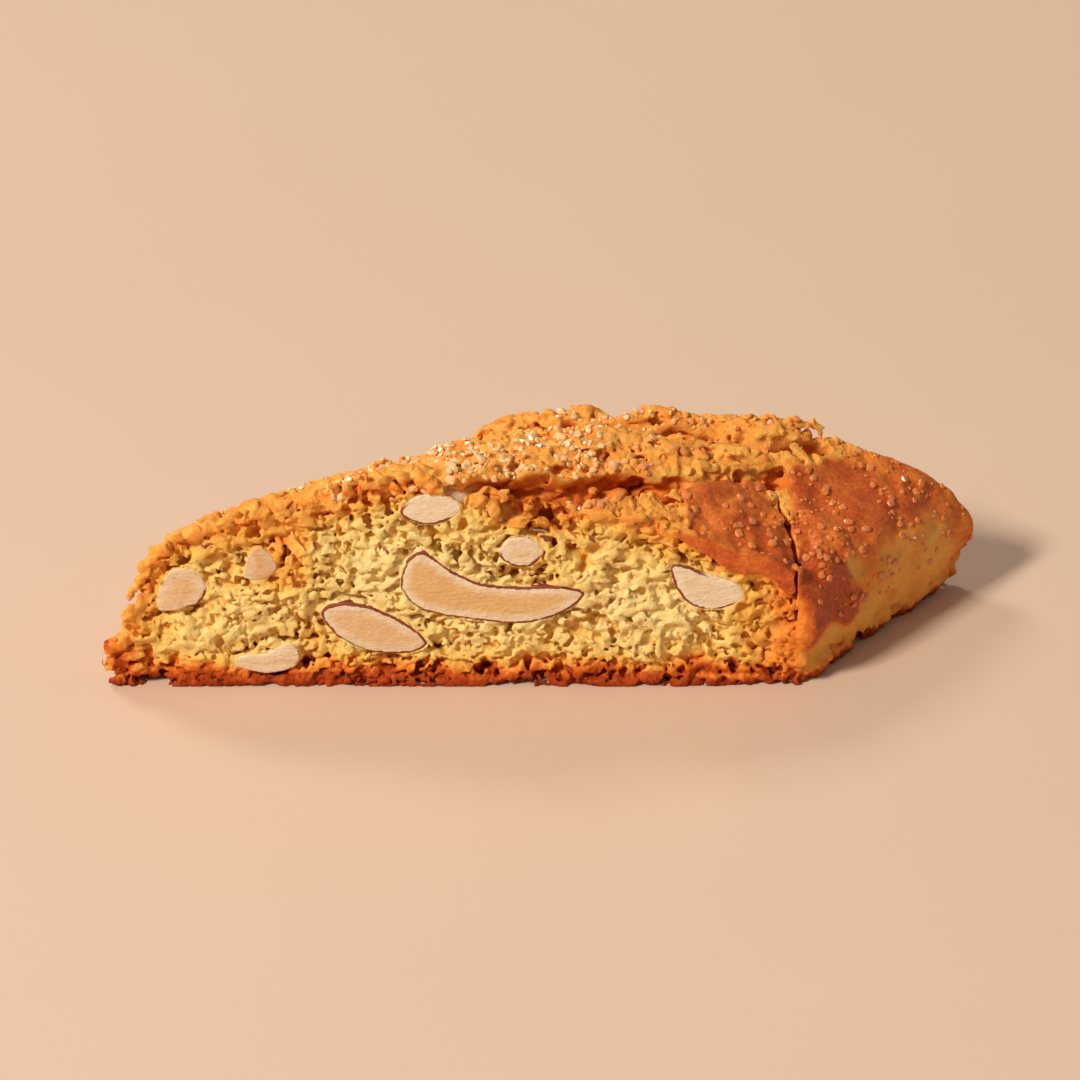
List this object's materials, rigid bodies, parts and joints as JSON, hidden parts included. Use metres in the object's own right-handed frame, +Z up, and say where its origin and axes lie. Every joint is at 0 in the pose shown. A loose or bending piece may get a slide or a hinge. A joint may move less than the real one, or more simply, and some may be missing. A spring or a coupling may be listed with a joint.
{
  "type": "almond biscotto",
  "caption": "Slanting slice of a domed, twice-baked biscuit log with sliced almonds in both cut faces; it stands on its flat foot.",
  "frame": {"origin": "middle of the slice's box, on the surface it stands on", "axes": "+X along the slice, +Y from the front cut face to the back one, +Z up from the log's flat foot"},
  "size_m": [0.1062, 0.024, 0.0289],
  "materials": {
    "biscuit": "baked: pale yellow porous crumb on the cuts, orange-brown sugared crust outside",
    "almond": "cut nut flesh with a thin red-brown skin",
    "sugar": "clear amber sugar grains baked into the crust"
  },
  "bodies": {
    "root": {"biscuit": "biscuit", "almond_left_end": "almond", "almond_chip": "almond", "almond_low": "almond", "almond_leaf": "almond", "almond_bone": "almond", "almond_top": "almond", "almond_small": "almond", "almond_wedge": "almond", "almond_back_1": "almond", "almond_back_2": "almond", "almond_back_3": "almond", "almond_back_4": "almond", "almond_back_5": "almond", "almond_back_6": "almond"}
  },
  "joints": []
}
